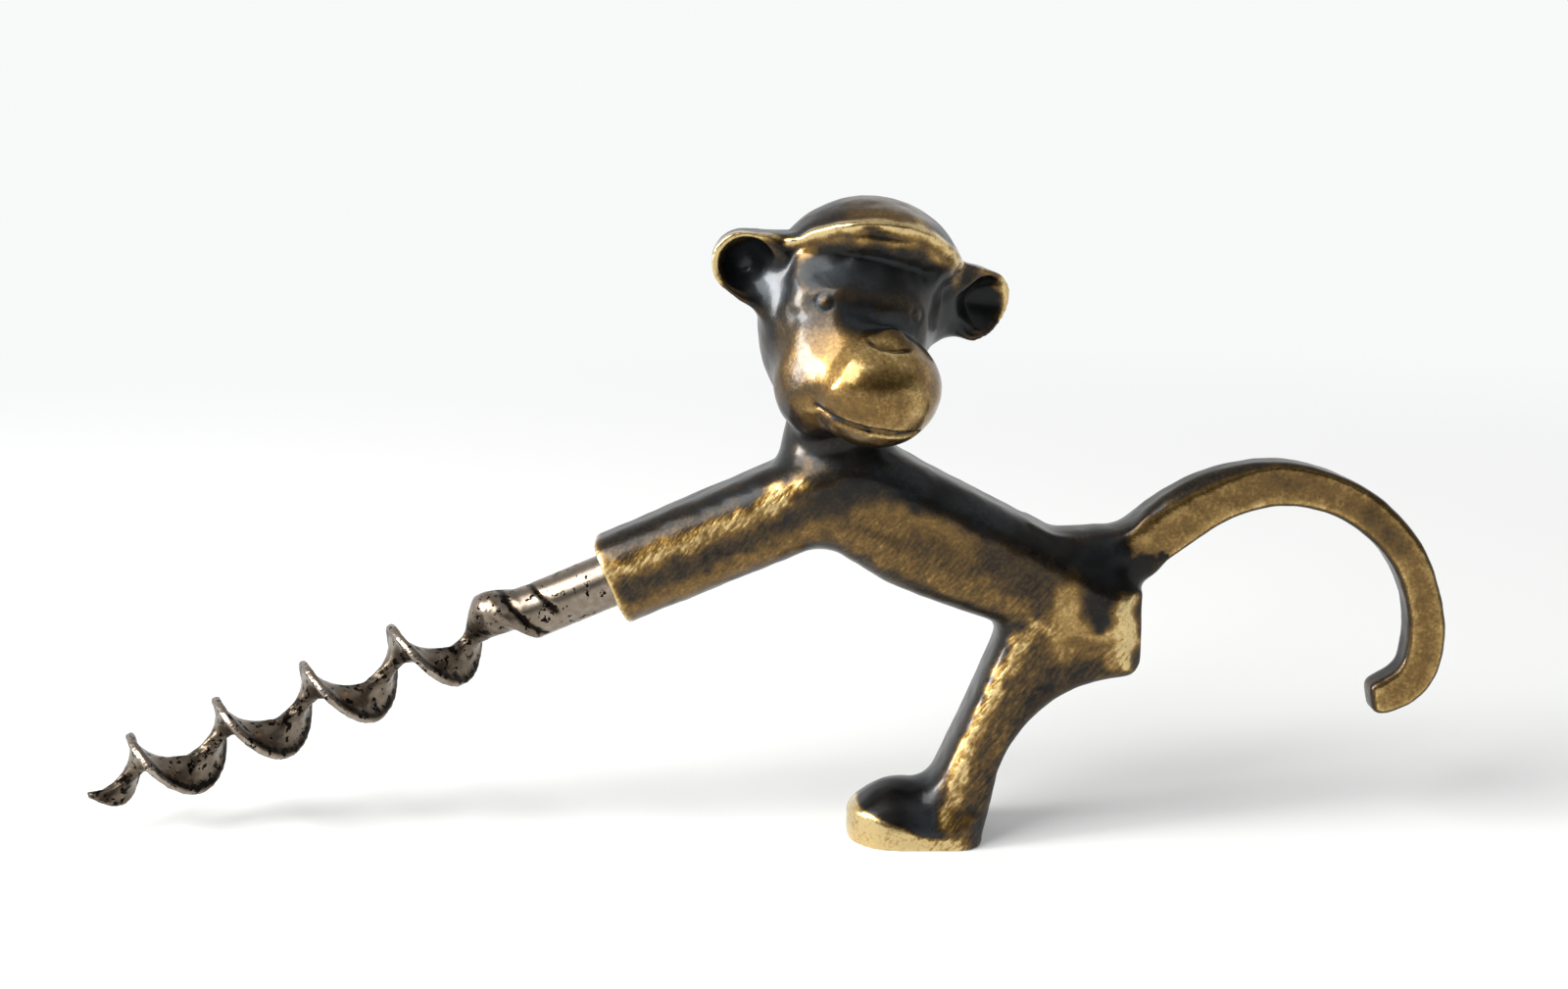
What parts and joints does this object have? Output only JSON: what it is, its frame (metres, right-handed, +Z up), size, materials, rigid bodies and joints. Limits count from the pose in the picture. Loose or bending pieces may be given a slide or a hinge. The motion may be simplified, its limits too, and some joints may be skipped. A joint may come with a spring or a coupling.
{
  "type": "figural corkscrew",
  "caption": "Figural corkscrew in cast brass: a monkey whose joined arms hold a steel worm and whose curled tail hooks under a crown cap. Its foot is its stand.",
  "frame": {"origin": "on the ground in the figure's middle plane, on the sole of its foot", "axes": "+X from the worm towards the tail, +Y away from the face, +Z up"},
  "size_m": [0.1416, 0.0234, 0.067],
  "materials": {
    "patinated_brass": "cast brass, blackened in its hollows and worn to bare metal on its high places",
    "worn_steel": "grey steel with dark pits, its edges worn bright"
  },
  "bodies": {
    "root": {"brass_figure": "patinated_brass", "steel_worm": "worn_steel"}
  },
  "joints": []
}
